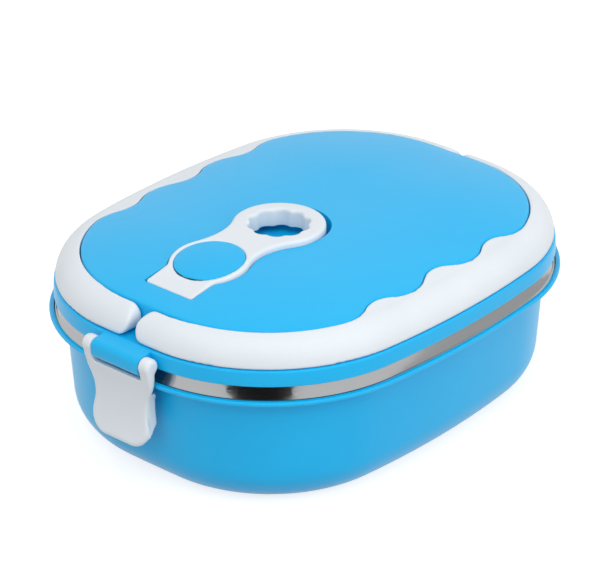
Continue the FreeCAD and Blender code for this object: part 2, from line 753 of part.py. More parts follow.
def make_handle(label, turned):
    """One handle: half of the shoulder round the panel, with wavy finger grips and round hinge ends."""
    body = new_body(label)
    reach_z = as_text(value("panel_top") - crown_drop("handle_reach"))
    ring(body, [
        ("handle_reach", "handle_bottom"),
        ("handle_outer_inset + handle_foot_round", "handle_bottom"),
        ("handle_outer_inset", "handle_bottom + handle_foot_round", "handle_foot_round"),
        (HANDLE_CREST, "panel_edge_z", "handle_round"),
        ("handle_reach", reach_z, CROWN),
    ])
    inside = sketch_on(body, "XY_Plane", ("0", "0", "handle_bottom"))
    draw_chain(inside, PANEL, "handle_gap")
    pocket(body, inside, "panel_top - handle_bottom + cut_past", reverse=True)
    other_half = sketch_on(body, "XY_Plane", ("0", "0", "handle_bottom"))
    draw_loop(other_half, [
        ("half_length", "-handle_end_gap / 2"),
        ("half_length", "half_width"),
        ("-half_length", "half_width"),
        ("-half_length", "-handle_end_gap / 2"),
    ])
    pocket(body, other_half, "panel_top - handle_bottom + cut_past", reverse=True)
    ends = sketch_on(body, "YZ_Plane")
    draw_loop(ends, [
        (f"-{PIVOT_Y}", f"{PIVOT_Z} + {PIVOT_R}"),
        ("-handle_end_gap / 2", PIVOT_Z, f"-{PIVOT_R}"),
        (f"-{PIVOT_Y}", "handle_bottom", f"-{PIVOT_R}"),
        (f"-{PIVOT_Y}", "handle_bottom - cut_past"),
        ("cut_past", "handle_bottom - cut_past"),
        ("cut_past", "panel_top"),
        (f"-{PIVOT_Y}", "panel_top"),
    ])
    pocket(body, ends, "2 * half_length", "Symmetric")
    corners = sketch_on(body, "XY_Plane", ("0", "0", "handle_bottom"))
    side_x = "(half_length - handle_outer_inset + corner_past)"
    end_y = "(corner_past - handle_end_gap / 2)"
    corner = [
        (side_x, f"{end_y} - handle_corner", "-handle_corner"),
        (f"{side_x} + cut_past", f"{end_y} - handle_corner"),
        (f"{side_x} + cut_past", end_y),
        (f"{side_x} - handle_corner", end_y),
    ]
    draw_loop(corners, corner)
    draw_loop(corners, mirrored(corner))
    pocket(body, corners, "panel_top - handle_bottom + cut_past", reverse=True)
    for sign, reverse in (("-", False), ("", True)):
        bore = sketch_on(body, "YZ_Plane", ("0", "0", f"{sign}(half_length - panel_inset - cut_past)"))
        draw_circle(bore, f"-{PIVOT_Y}", PIVOT_Z, "handle_pin_radius + running_fit")
        pocket(body, bore, "cut_past + handle_gap + handle_pin_bear", reverse=reverse)
    if turned:
        body.Placement = HALF_TURN
    return body


def cylinder(name, radius, length, place, turn):
    """A plain pin: its start, and the turn of its axis from upright."""
    pin = doc.addObject("Part::Cylinder", name)
    pin.setExpression("Radius", bound(radius))
    pin.setExpression("Height", bound(length))
    pin.Placement = FreeCAD.Placement(FreeCAD.Vector(*[value(size) for size in place]), turn)
    for axis, size in zip("xyz", place):
        pin.setExpression(f"Placement.Base.{axis}", bound(size))
    return pin


ALONG_X = FreeCAD.Rotation(FreeCAD.Vector(0, 1, 0), 90)
ALONG_Y = FreeCAD.Rotation(FreeCAD.Vector(1, 0, 0), -90)


def make_handle_pins():
    """Four steel pins, pressed into the panel's ends, that the handles turn on."""
    length = "handle_pin_hold + handle_gap + handle_pin_bear - pin_end_gap"
    inner = "(half_length - panel_inset - handle_pin_hold)"
    pins = []
    for start in (f"-{inner} - ({length})", inner):
        for side in ("-", ""):
            pins.append(cylinder("Pin", "handle_pin_radius", length,
                                 (start, f"{side}{PIVOT_Y}", PIVOT_Z), ALONG_X))
    group = doc.addObject("Part::Compound", "handle_pins")
    group.Label = "handle_pins"
    group.Links = pins
    return group


def on_latch_outline(body, edge):
    """Whether an edge runs along the outline of the latch's bowed front or of one of its ears."""
    radii = [value("ear_radius"), value("latch_curve")]
    front = [face for face in body.Tip.Shape.Faces
             if hasattr(face.Surface, "Radius") and abs(face.Surface.Axis.y) > 0.9
             and min(abs(face.Surface.Radius - radius) for radius in radii) < 1e-3]
    one_side = edge.BoundBox.YMin * edge.BoundBox.YMax > 0
    at_lip = edge.BoundBox.ZMax < value("latch_bottom + latch_edge_round")
    return (one_side or at_lip) and any(edge.isSame(side) for face in front for side in face.Edges)


def make_latch(label, turned):
    """A clip latch: two ears on the barrel, a waisted plate that flares at the lip, and a hook inside."""
    body = new_body(label)
    back = "-(half_length + latch_rim_gap)"
    ear_foot = math.sqrt(value("ear_radius") ** 2 - value(f"latch_reach + {back}") ** 2)
    ear = FreeCAD.Vector(value("-latch_reach"), value("latch_axis_z"), 0)
    lip = FreeCAD.Vector(value("-(latch_reach + latch_flare)"), value("latch_bottom"), 0)
    bow = meet(ear, value("ear_radius + latch_curve"), lip, value("latch_curve"))
    ear_joint = ear + (bow - ear).normalize() * value("ear_radius")

    def plate_back(height):
        """Where the back of the bowed plate is at a height."""
        back_curve = value("latch_curve + latch_plate")
        return as_text(bow.x + math.sqrt(back_curve ** 2 - (value(height) - bow.y) ** 2))

    section = sketch_on(body, "XZ_Plane")
    draw_loop(section, [
        (as_text(ear_joint.x), as_text(ear_joint.y), "ear_radius"),
        ("-(latch_reach + latch_flare)", "latch_bottom", "-latch_curve"),
        (plate_back("latch_bottom"), "latch_bottom"),
        (plate_back("lobe_low_z"), "lobe_low_z", "latch_curve + latch_plate"),
        ("-(latch_reach - hook_root)", "lobe_z", "-lobe_round"),
        ("-(latch_reach - hook_root)", "hook_top - hook_height"),
        ("-(half_length - hook_reach)", "hook_top - hook_nose"),
        ("-(half_length - hook_reach)", "hook_top"),
        (back, "hook_top"),
        (back, f"latch_axis_z - {as_text(ear_foot)}"),
        ("-(latch_reach - ear_radius)", "latch_axis_z", "ear_radius"),
        ("-latch_reach", "latch_axis_z + ear_radius", "ear_radius"),
    ])
    pad(body, section, "latch_width", "Symmetric")
    sides = sketch_on(body, "YZ_Plane")
    corner = "(skirt_z - latch_bottom)"
    ear_half = "(latch_width / 2)"
    past = f"({ear_half} + cut_past)"
    upper_step = f"({ear_half} - waist_half)"
    upper_bend = f"(({upper_step} ^ 2 + (ear_low_z - waist_z) ^ 2) / (4 * {upper_step}))"
    lower_step = "(skirt_half - waist_half)"
    lower_bend = f"(({lower_step} ^ 2 + (waist_z - skirt_z) ^ 2) / (4 * {lower_step}))"
    side = [
        (past, "ear_low_z"),
        (ear_half, "ear_low_z"),
        (f"({ear_half} + waist_half) / 2", "(ear_low_z + waist_z) / 2", f"-{upper_bend}"),
        ("waist_half", "waist_z", upper_bend),
        ("(waist_half + skirt_half) / 2", "(waist_z + skirt_z) / 2", lower_bend),
        ("skirt_half", "skirt_z", f"-{lower_bend}"),
        (f"skirt_half - {corner}", "latch_bottom", f"-{corner}"),
        (f"skirt_half - {corner}", "latch_bottom - cut_past"),
        (past, "latch_bottom - cut_past"),
    ]
    draw_loop(sides, side)
    draw_loop(sides, mirrored(side))
    pocket(body, sides, "2 * (latch_reach + 2 * ear_radius)", "Symmetric")
    round_edges(body, "latch_edge_round", lambda edge: on_latch_outline(body, edge))
    beside_hook = sketch_on(body, "YZ_Plane", ("0", "0", back))
    beside = [
        ("hook_half", "lobe_top"),
        (past, "lobe_top"),
        (past, "hook_top + cut_past"),
        ("hook_half", "hook_top + cut_past"),
    ]
    draw_loop(beside_hook, beside)
    draw_loop(beside_hook, mirrored(beside))
    pocket(body, beside_hook, "latch_reach - hook_root", reverse=True)
    lobe_back = value("-(latch_reach - hook_root)")
    round_edges(body, "lobe_top_round", lambda edge: abs(edge.BoundBox.ZMin - value("lobe_top")) < 1e-3
                and edge.BoundBox.ZLength < 1e-3 and edge.BoundBox.XMin > lobe_back)
    slot = sketch_on(body, "XZ_Plane")
    draw_loop(slot, [
        ("-(latch_reach + 2 * ear_radius)", "latch_slot_bottom"),
        ("-(latch_reach - 2 * ear_radius)", "latch_slot_bottom"),
        ("-(latch_reach - 2 * ear_radius)", "latch_axis_z + 2 * ear_radius"),
        ("-(latch_reach + 2 * ear_radius)", "latch_axis_z + 2 * ear_radius"),
    ])
    pocket(body, slot, "barrel_length + 2 * latch_gap", "Symmetric")
    finger = sketch_on(body, "XZ_Plane")
    low = "(latch_bottom - cut_past)"
    high = "(hook_top - hook_height)"
    draw_loop(finger, [
        (plate_back(low), low, "-(latch_curve + latch_plate)"),
        ("-(latch_reach - 2 * ear_radius)", low),
        ("-(latch_reach - 2 * ear_radius)", high),
        (plate_back(high), high),
    ])
    pocket(body, finger, "2 * (waist_half - latch_side_wall)", "Symmetric")
    bore = sketch_on(body, "XZ_Plane")
    draw_circle(bore, "-latch_reach", "latch_axis_z", "latch_pin_radius + running_fit")
    pocket(body, bore, "latch_pin_length + 2 * latch_gap", "Symmetric")
    if turned:
        body.Placement = HALF_TURN
    return body


def make_latch_pin(label, sign):
    pin = cylinder(label, "latch_pin_radius", "latch_pin_length",
                   (f"{sign}latch_reach", "-latch_pin_length / 2", "latch_axis_z"), ALONG_Y)
    pin.Label = label
    return pin


def scallops():
    """The finger hole: round lobes joined by small points that reach in."""
    count = int(value("finger_lobes"))
    lobe = value("finger_lobe_radius")
    lobe_ring = value("finger_hole_radius") - lobe
    inner = value("finger_hole_radius - finger_lobe_depth")
    step = math.cos(math.pi / count)
    tip = ((lobe_ring ** 2 + inner ** 2 - 2 * lobe_ring * inner * step - lobe ** 2)
           / (2 * lobe - 2 * inner + 2 * lobe_ring * step))
    head = FreeCAD.Vector(value("head_x"), 0, 0)
    circles = []
    for index in range(count):
        arcs = ((0, lobe_ring, "finger_lobe_radius", 1), (0.5, inner + tip, as_text(tip), -1))
        for half, reach, radius, turn in arcs:
            angle = 2 * math.pi * (index + half) / count
            centre = head + FreeCAD.Vector(math.cos(angle), math.sin(angle), 0) * reach
            circles.append((centre, radius, turn))
    return circles


LEVER_TOP = "(panel_top + lever_proud)"
BUTTON_EDGE = f"({LEVER_TOP} - {as_text(crown_drop('half_length + button_x'))} - button_sink)"


def make_vent_lever():
    """The vent lever: a tab on a pin, a cup for the button, and a head with a scalloped finger hole."""
    body = new_body("vent_lever")
    plan = sketch_on(body, "XY_Plane", ("0", "0", "lever_bottom"))
    draw_lever(plan)
    pad(body, plan, f"{LEVER_TOP} - lever_bottom + cut_past")
    top = sketch_on(body, "XZ_Plane")
    past_tab = "(half_length + tab_end_x - tab_notch)"
    past_head = "(head_x + head_radius + cut_past)"
    high = f"({LEVER_TOP} + 2 * cut_past)"
    draw_loop(top, [
        (f"-(half_length - {past_tab})", f"{LEVER_TOP} - {as_text(crown_drop(past_tab))}"),
        ("-(half_length - crown_reach)", LEVER_TOP, f"-({CROWN} + lever_proud)"),
        (past_head, LEVER_TOP),
        (past_head, high),
        (f"-(half_length - {past_tab})", high),
    ])
    pocket(body, top, "4 * head_radius", "Symmetric")
    sides_low = value("lever_bottom + lever_edge_round")
    round_edges(body, "lever_edge_round", lambda edge: edge.BoundBox.ZMin > sides_low)
    hole = sketch_on(body, "XY_Plane", ("0", "0", "lever_bottom"))
    draw_chain(hole, scallops())
    pocket(body, hole, f"{LEVER_TOP} - lever_bottom + cut_past", reverse=True)
    hole_reach = value("finger_hole_radius + cut_past")
    round_edges(body, "finger_hole_round", lambda edge: edge.BoundBox.ZMin > sides_low
                and abs(edge.BoundBox.XMin - value("head_x")) < hole_reach
                and abs(edge.BoundBox.XMax - value("head_x")) < hole_reach
                and max(abs(edge.BoundBox.YMin), abs(edge.BoundBox.YMax)) < hole_reach)
    under = sketch_on(body, "XY_Plane", ("0", "0", "lever_bottom"))
    draw_circle(under, "head_x", "0", "head_radius - head_rim")
    draw_circle(under, "head_x", "0", "finger_hole_radius + head_rim")
    pocket(body, under, f"{LEVER_TOP} - 2 * head_rim - lever_bottom", reverse=True)
    cup = sketch_on(body, "XY_Plane", ("0", "0", "cup_floor"))
    draw_circle(cup, "button_x", "0", "button_radius + button_gap")
    pocket(body, cup, f"{LEVER_TOP} - cup_floor + cut_past", reverse=True)
    stem = sketch_on(body, "XY_Plane", ("0", "0", "lever_bottom"))
    draw_circle(stem, "button_x", "0", "stem_radius + stem_gap")
    pocket(body, stem, "cup_floor - lever_bottom + cut_past", reverse=True)
    heel = sketch_on(body, "XZ_Plane")
    draw_loop(heel, [
        ("tab_end_x - cut_past", "lever_bottom - cut_past"),
        ("lever_axis_x", "lever_bottom - cut_past"),
        ("lever_axis_x", "lever_bottom"),
        ("tab_end_x", "lever_axis_z"),
        ("tab_end_x - cut_past", "lever_axis_z"),
    ])
    pocket(body, heel, "4 * tab_half_width", "Symmetric")
    pin = sketch_on(body, "XZ_Plane")
    draw_circle(pin, "lever_axis_x", "lever_axis_z", "lever_pin_radius + running_fit")
    pocket(body, pin, "4 * tab_half_width", "Symmetric")
    return body


def make_vent_lever_pin():
    pin = cylinder("vent_lever_pin", "lever_pin_radius", "lever_pin_length",
                   ("lever_axis_x", "-lever_pin_length / 2", "lever_axis_z"), ALONG_Y)
    pin.Label = "vent_lever_pin"
    return pin


PLUG_BOTTOM = "(well_floor - plug_depth)"
LIP_Z = "(well_floor - plug_lip_depth)"


def make_vent_button():
    """The round button: a low dome on a stem that reaches down to the plug."""
    body = new_body("vent_button")
    revolve(body, "button_x", [
        ("0", f"{PLUG_BOTTOM} + plug_skin"),
        ("stem_radius", f"{PLUG_BOTTOM} + plug_skin"),
        ("stem_radius", f"{BUTTON_EDGE} - button_thick"),
        ("button_radius", f"{BUTTON_EDGE} - button_thick"),
        ("button_radius", f"{BUTTON_EDGE} - button_round"),
        ("button_radius - button_round", BUTTON_EDGE, "button_round"),
        ("0", f"{BUTTON_EDGE} + button_dome",
         "((button_radius - button_round) ^ 2 + button_dome ^ 2) / (2 * button_dome)"),
    ])
    return body


def make_vent_plug():
    """The silicone plug on the stem; its lip fills the vent's land until the button goes down."""
    body = new_body("vent_plug")
    revolve(body, "button_x", [
        ("0", PLUG_BOTTOM),
        ("plug_radius", PLUG_BOTTOM),
        ("plug_radius", LIP_Z),
        ("plug_lip_radius", LIP_Z),
        ("plug_lip_radius", f"{LIP_Z} + plug_lip_height"),
        ("plug_radius", f"{LIP_Z} + plug_lip_height"),
        ("plug_radius", "well_floor + plug_collar"),
        ("stem_radius", "well_floor + plug_collar"),
        ("stem_radius", f"{PLUG_BOTTOM} + plug_skin"),
        ("0", f"{PLUG_BOTTOM} + plug_skin"),
    ])
    return body


def make_vent_spring():
    """The coil spring under the button, an open helix of round wire."""
    body = new_body("vent_spring")
    section = sketch_on(body, "XZ_Plane", ("button_x", "0", "0"))
    draw_circle(section, "spring_radius", "cup_floor + spring_wire / 2 + spring_seat", "spring_wire / 2")
    coil = body.newObject("PartDesign::AdditiveHelix", "Coil")
    coil.Profile = section
    coil.ReferenceAxis = (section, ["V_Axis"])
    coil.Mode = "height-turns-angle"
    room = f"{BUTTON_EDGE} - button_thick - cup_floor"
    coil.setExpression("Height", bound(f"{room} - spring_wire - 2 * spring_seat"))
    coil.setExpression("Turns", bound("spring_turns"))
    doc.recompute()
    return body


make_outer_shell()
make_steel_liner()
make_lid_shell()
make_lid_top_panel()
make_lid_inner_cover()
make_lid_seal()
make_handle("near_handle", False)
make_handle("far_handle", True)
make_handle_pins()
make_latch("front_latch", False)
make_latch("rear_latch", True)
make_latch_pin("front_latch_pin", "-")
make_latch_pin("rear_latch_pin", "")
make_vent_lever()
make_vent_lever_pin()
make_vent_button()
make_vent_spring()
make_vent_plug()

doc.recompute()
for item in doc.Objects:
    if "Invalid" in item.State or "Error" in item.State:
        raise RuntimeError(f"{item.Name} failed: {item.State}")

os.makedirs("parts", exist_ok=True)
for label in NODES:
    shape = doc.getObjectsByLabel(label)[0].Shape
    if shape.isNull() or not shape.isValid():
        raise RuntimeError(f"{label} has no valid shape")
    box = shape.optimalBoundingBox()
    print(f"{label}: {len(shape.Solids)} solid, {shape.Volume / 1000:.2f} cm3,"
          f" x {box.XMin:.1f} to {box.XMax:.1f}, y {box.YMin:.1f} to {box.YMax:.1f},"
          f" z {box.ZMin:.1f} to {box.ZMax:.1f}")
    shape.exportStep(f"parts/{label}.step")
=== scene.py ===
import contextlib
import json
import math

import bmesh
import bpy
from mathutils import Matrix, Vector


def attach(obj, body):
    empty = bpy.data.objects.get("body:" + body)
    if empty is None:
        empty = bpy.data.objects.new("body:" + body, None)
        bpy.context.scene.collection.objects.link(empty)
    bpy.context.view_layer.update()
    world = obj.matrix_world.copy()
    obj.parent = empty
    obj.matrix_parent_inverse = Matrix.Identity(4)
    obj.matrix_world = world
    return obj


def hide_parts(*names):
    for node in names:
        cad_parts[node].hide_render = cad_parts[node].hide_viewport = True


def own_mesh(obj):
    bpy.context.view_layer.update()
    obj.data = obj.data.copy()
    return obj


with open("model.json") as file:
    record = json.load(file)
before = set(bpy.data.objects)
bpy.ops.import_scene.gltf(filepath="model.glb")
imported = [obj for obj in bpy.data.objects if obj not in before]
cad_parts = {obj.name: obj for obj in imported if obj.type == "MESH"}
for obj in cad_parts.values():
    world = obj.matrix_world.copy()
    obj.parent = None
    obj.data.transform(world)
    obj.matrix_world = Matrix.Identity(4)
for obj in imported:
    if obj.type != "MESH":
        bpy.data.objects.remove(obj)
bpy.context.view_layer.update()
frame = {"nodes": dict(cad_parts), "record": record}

# Outer shell: the bowl that the box stands on, moulded from blue polypropylene in one shot.
# Its walls draw in towards a rounded base, and its rim flares out to a rounded lip that the
# latches hook.
MM = 0.001
WELD_DISTANCE = 0.004 * MM
SHARP_ANGLE = math.radians(30)
SHELL_BLUE = "#06B6F2"
SHELL_BLUE_THIN = "#12BCF6"
FLOW_SIZE = 45 * MM
GRAIN_SIZE = 0.8 * MM
GRAIN_DEPTH = 0.006 * MM
GRAIN_BUMP = 0.5
GRAIN_GLOSS = 0.05
PLASTIC_IOR = 1.49
PLASTIC_SHEEN = 0.38
CLOUD_DEPTH = 1.5 * MM


def linear(hex_colour):
    """An sRGB hex colour as linear RGBA."""
    channels = [int(hex_colour[start:start + 2], 16) / 255 for start in (1, 3, 5)]
    return [c / 12.92 if c <= 0.04045 else ((c + 0.055) / 1.055) ** 2.4 for c in channels] + [1.0]


def add(tree, kind, links=None, values=None, **settings):
    """Add a node with its settings, its own values and its incoming links."""
    node = tree.nodes.new(kind)
    for name, setting in settings.items():
        setattr(node, name, setting)
    for socket, value in (values or {}).items():
        node.inputs[socket].default_value = value
    for socket, source in (links or {}).items():
        tree.links.new(source, node.inputs[socket])
    return node


def new_material(name):
    """A new material, with its node tree and its main shader."""
    material = bpy.data.materials.new(name)
    material.use_nodes = True
    return material, material.node_tree, material.node_tree.nodes["Principled BSDF"]


def moulded_plastic(name, colour, thin_colour, roughness, glow):
    """Moulded plastic: satin, a little cloudy, with faint flow marks and a spark-eroded grain.

    The grain is 0.2 mm on the tool; it is drawn four times as coarse so that it shows at all.
    """
    material, tree, shader = new_material(name)
    place = add(tree, "ShaderNodeTexCoord").outputs["Object"]
    flow = add(tree, "ShaderNodeTexNoise", {"Vector": place},
               {"Scale": 1 / FLOW_SIZE, "Detail": 3.0, "Roughness": 0.55, "Distortion": 0.8})
    tint = add(tree, "ShaderNodeMix", {"Factor": flow.outputs["Fac"]},
               {"A": linear(colour), "B": linear(thin_colour)}, data_type="RGBA")
    tree.links.new(tint.outputs["Result"], shader.inputs["Base Color"])
    grain = add(tree, "ShaderNodeTexNoise", {"Vector": place},
                {"Scale": 1 / GRAIN_SIZE, "Detail": 2.0, "Roughness": 0.6})
    gloss = add(tree, "ShaderNodeMapRange", {"Value": grain.outputs["Fac"]},
                {"To Min": roughness - GRAIN_GLOSS, "To Max": roughness + GRAIN_GLOSS})
    tree.links.new(gloss.outputs["Result"], shader.inputs["Roughness"])
    bump = add(tree, "ShaderNodeBump", {"Height": grain.outputs["Fac"]},
               {"Strength": GRAIN_BUMP, "Distance": GRAIN_DEPTH})
    tree.links.new(bump.outputs["Normal"], shader.inputs["Normal"])
    shader.inputs["IOR"].default_value = PLASTIC_IOR
    shader.inputs["Specular IOR Level"].default_value = PLASTIC_SHEEN
    shader.inputs["Subsurface Weight"].default_value = glow
    shader.inputs["Subsurface Radius"].default_value = (1.0, 1.0, 1.0)
    shader.inputs["Subsurface Scale"].default_value = CLOUD_DEPTH
    return material


@contextlib.contextmanager
def editing(mesh):
    """A mesh opened for editing and written back at the end."""
    work = bmesh.new()
    work.from_mesh(mesh)
    yield work
    work.to_mesh(mesh)
    work.free()


def put(name, data):
    """A new object in the scene."""
    thing = bpy.data.objects.new(name, data)
    bpy.context.scene.collection.objects.link(thing)
    return thing


def node_piece(node, name, material):
    """A node's solid as one welded mesh, smooth except at its real edges, in its place."""
    mesh = frame["nodes"][node].data.copy()
    mesh.name = name
    with editing(mesh) as work:
        bmesh.ops.remove_doubles(work, verts=work.verts, dist=WELD_DISTANCE)
        bmesh.ops.dissolve_degenerate(work, edges=work.edges, dist=WELD_DISTANCE)
    if "custom_normal" in mesh.attributes:
        mesh.attributes.remove(mesh.attributes["custom_normal"])
    mesh.shade_smooth()
    mesh.set_sharp_from_angle(angle=SHARP_ANGLE)
    mesh.materials.clear()
    mesh.materials.append(material)
    piece = put(name, mesh)
    bodies = frame["record"]["behaviour"]["bodies"]
    body = next(body for body, nodes in bodies.items() if node in nodes)
    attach(piece, body)
    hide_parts(node)
    return piece


# Blue polypropylene: a clear, slightly cloudy blue with a broad, satin highlight.
blue_plastic = moulded_plastic("blue_moulded_polypropylene", SHELL_BLUE, SHELL_BLUE_THIN,
                               roughness=0.34, glow=0.12)
node_piece("outer_shell", "shell_moulding", blue_plastic)

# Steel tray: a pan of stainless sheet, deep-drawn and polished, that drops into the shell.
# Only its flange and the slope up to its rolled bead show while the lid is on, as a bright band
# under the lid's skirt. The slope is a little hollow, so it shows a streak of light and shade.
STEEL_GREY = "#B4B6B8"
LINE_STRETCH = (0.02, 0.02, 1.0)
LINE_BUMP = 0.4
LINE_GLOSS = 0.04
LINE_SHADE = 0.94
SLOPE_LOW_Z = 51.3 * MM
SLOPE_HIGH_Z = 56.1 * MM
SLOPE_STEEP = (0.4, 0.7)
SLOPE_CUTS = 8
SLOPE_HOLLOW = 0.2 * MM
SLOPE_FIXED = 0.01
LEVEL = 0.02 * MM
UPRIGHT = 0.1
FLANGE_EDGE = (50.5 * MM, 51.4 * MM)
FLANGE_GROWTH = 0.25 * MM
FLANGE_BROW = 50.85 * MM


def drawn_steel(name, colour, roughness, line_size, line_depth):
    """Polished steel with faint lines round the piece.

    The lines are hundredths of a millimetre apart; they are drawn coarser so that they show.
    """
    material, tree, shader = new_material(name)
    place = add(tree, "ShaderNodeTexCoord").outputs["Object"]
    along = add(tree, "ShaderNodeMapping", {"Vector": place}, {"Scale": LINE_STRETCH})
    lines = add(tree, "ShaderNodeTexNoise", {"Vector": along.outputs["Vector"]},
                {"Scale": 1 / line_size, "Detail": 3.0, "Roughness": 0.6}).outputs["Fac"]
    gloss = add(tree, "ShaderNodeMapRange", {"Value": lines},
                {"To Min": roughness - LINE_GLOSS, "To Max": roughness + LINE_GLOSS})
    tree.links.new(gloss.outputs["Result"], shader.inputs["Roughness"])
    bump = add(tree, "ShaderNodeBump", {"Height": lines},
               {"Strength": LINE_BUMP, "Distance": line_depth})
    tree.links.new(bump.outputs["Normal"], shader.inputs["Normal"])
    shade = add(tree, "ShaderNodeMapRange", {"Value": lines}, {"To Min": LINE_SHADE, "To Max": 1.0})
    tone = add(tree, "ShaderNodeMix", {"B": shade.outputs["Result"]},
               {"Factor": 1.0, "A": linear(colour)}, data_type="RGBA", blend_type="MULTIPLY")
    tree.links.new(tone.outputs["Result"], shader.inputs["Base Color"])
    shader.inputs["Metallic"].default_value = 1.0
    return material


def vertices_of(faces):
    """The vertices of some faces, each once."""
    return list(dict.fromkeys(vertex for face in faces for vertex in face.verts))


def slope_faces(work):
    """The faces of the tray's slope as it is now."""
    return [face for face in work.faces if SLOPE_STEEP[0] < face.normal.z < SLOPE_STEEP[1]
            and all(SLOPE_LOW_Z - LEVEL < vertex.co.z < SLOPE_HIGH_Z + LEVEL
                    for vertex in face.verts)]


# Polished stainless sheet: a bright mirror that fine polishing lines blur a little.
tray_steel = drawn_steel("polished_stainless_sheet", STEEL_GREY,
                         roughness=0.14, line_size=0.5 * MM, line_depth=0.01 * MM)
tray = node_piece("steel_liner", "steel_tray", tray_steel)
with editing(tray.data) as work:
    for step in range(1, SLOPE_CUTS + 1):
        faces = slope_faces(work)
        edges = list(dict.fromkeys(edge for face in faces for edge in face.edges))
        level = SLOPE_LOW_Z + (SLOPE_HIGH_Z - SLOPE_LOW_Z) * step / (SLOPE_CUTS + 1)
        bmesh.ops.bisect_plane(work, geom=[*vertices_of(faces), *edges, *faces],
                               plane_co=(0, 0, level), plane_no=(0, 0, 1))
    bmesh.ops.dissolve_degenerate(work, edges=work.edges, dist=LEVEL)
    work.normal_update()
    for vertex in vertices_of(slope_faces(work)):
        up = (vertex.co.z - SLOPE_LOW_Z) / (SLOPE_HIGH_Z - SLOPE_LOW_Z)
        if SLOPE_FIXED < up < 1 - SLOPE_FIXED:
            vertex.co -= vertex.normal * SLOPE_HOLLOW * 4 * up * (1 - up)
    edge_faces = [face for face in work.faces if abs(face.normal.z) < UPRIGHT
                  and all(FLANGE_EDGE[0] < vertex.co.z < FLANGE_EDGE[1] for vertex in face.verts)]
    for vertex in vertices_of(edge_faces):
        vertex.co += Vector((vertex.normal.x, vertex.normal.y, 0)).normalized() * FLANGE_GROWTH
        vertex.co.z = min(vertex.co.z, FLANGE_BROW)

# Lid moulding: the flat blue lid with its skirt over the steel band and a barrel at each end.
# The raised blue panel on top of it carries the handles' hinges and the vent lever's well.
# The front wall of the well stands close to the lever's tab.
WELL_FRONT = (-81.75 * MM, -79 * MM)
WELL_HALF = 12.6 * MM
WELL_FLOOR = 71.3 * MM
WELL_CLOSING = 0.52
node_piece("lid_shell", "lid_moulding", blue_plastic)
panel = node_piece("lid_top_panel", "lid_panel", blue_plastic)
for vertex in panel.data.vertices:
    in_front = WELL_FRONT[0] < vertex.co.x < WELL_FRONT[1]
    if in_front and abs(vertex.co.y) < WELL_HALF and vertex.co.z > WELL_FLOOR:
        vertex.co.x = WELL_FRONT[1] + (vertex.co.x - WELL_FRONT[1]) * WELL_CLOSING

# Inner cover and seal: a white plate snapped under the lid, and a soft silicone ring in the
# groove round it. Neither shows until the lid comes off.
COVER_WHITE = "#E0E7ED"
COVER_WHITE_THIN = "#E9EFF4"
SILICONE = "#D9DEE2"
SILICONE_THIN = "#E6EAEC"
# White polypropylene: the same satin as the blue, a little duller, with soft shaded edges.
white_plastic = moulded_plastic("white_moulded_polypropylene", COVER_WHITE, COVER_WHITE_THIN,
                                roughness=0.4, glow=0.15)
# Moulded silicone: matt and milky, with hardly any highlight.
silicone = moulded_plastic("matt_silicone", SILICONE, SILICONE_THIN, roughness=0.62, glow=0.3)
node_piece("lid_inner_cover", "lid_cover", white_plastic)
node_piece("lid_seal", "seal_ring", silicone)

# Handles: two white arms that lie round the panel and fold up over the lid to make one grip.
# Their wavy inner edge follows the panel, and each turns on two steel pins in the panel's ends.
# Their ends are the softest, so they get more easing the nearer they are to the middle line.
PIN_GREY = "#BDBBB6"
OCTREE_DEPTH = 9
OCTREE_SCALE = 0.97
EASE_FACTOR = 0.5
HANDLE_EASING = 5
HANDLE_END = 24 * MM
HANDLE_END_SHRINK = 0.5
HANDLE_END_EASING = 24


def ease(piece, passes, mesh_size=None):
    """Round off a piece's sharp corners, as its mould does: an even mesh, then smoothing passes.

    A piece with no mesh size gets an octree mesh, which holds long edges straighter.
    """
    even = piece.modifiers.new("even_mesh", "REMESH")
    if mesh_size:
        even.mode = "VOXEL"
        even.voxel_size = mesh_size
    else:
        even.mode = "SHARP"
        even.octree_depth = OCTREE_DEPTH
        even.scale = OCTREE_SCALE
    even.use_remove_disconnected = False
    even.use_smooth_shade = True
    soft = piece.modifiers.new("eased", "SMOOTH")
    soft.factor = EASE_FACTOR
    soft.iterations = passes
    graph = bpy.context.evaluated_depsgraph_get()
    eased = bpy.data.meshes.new_from_object(piece.evaluated_get(graph))
    piece.modifiers.clear()
    eased.name = piece.data.name
    piece.data = eased


for side in ("near", "far"):
    handle = node_piece(f"{side}_handle", f"handle_{side}", white_plastic)
    ease(handle, HANDLE_EASING)
    with editing(handle.data) as work:
        for step in range(HANDLE_END_EASING):
            reach = HANDLE_END * (1 - HANDLE_END_SHRINK * step / HANDLE_END_EASING)
            ends = [vertex for vertex in work.verts if abs(vertex.co.y) < reach]
            bmesh.ops.smooth_vert(work, verts=ends, factor=EASE_FACTOR,
                                  use_axis_x=True, use_axis_y=True, use_axis_z=True)
# Drawn steel wire: a duller, warmer grey than the tray's, with short streaks of light.
pin_steel = drawn_steel("drawn_steel_wire", PIN_GREY,
                        roughness=0.26, line_size=0.3 * MM, line_depth=0.004 * MM)
node_piece("handle_pins", "handle_hinge_pins", pin_steel)

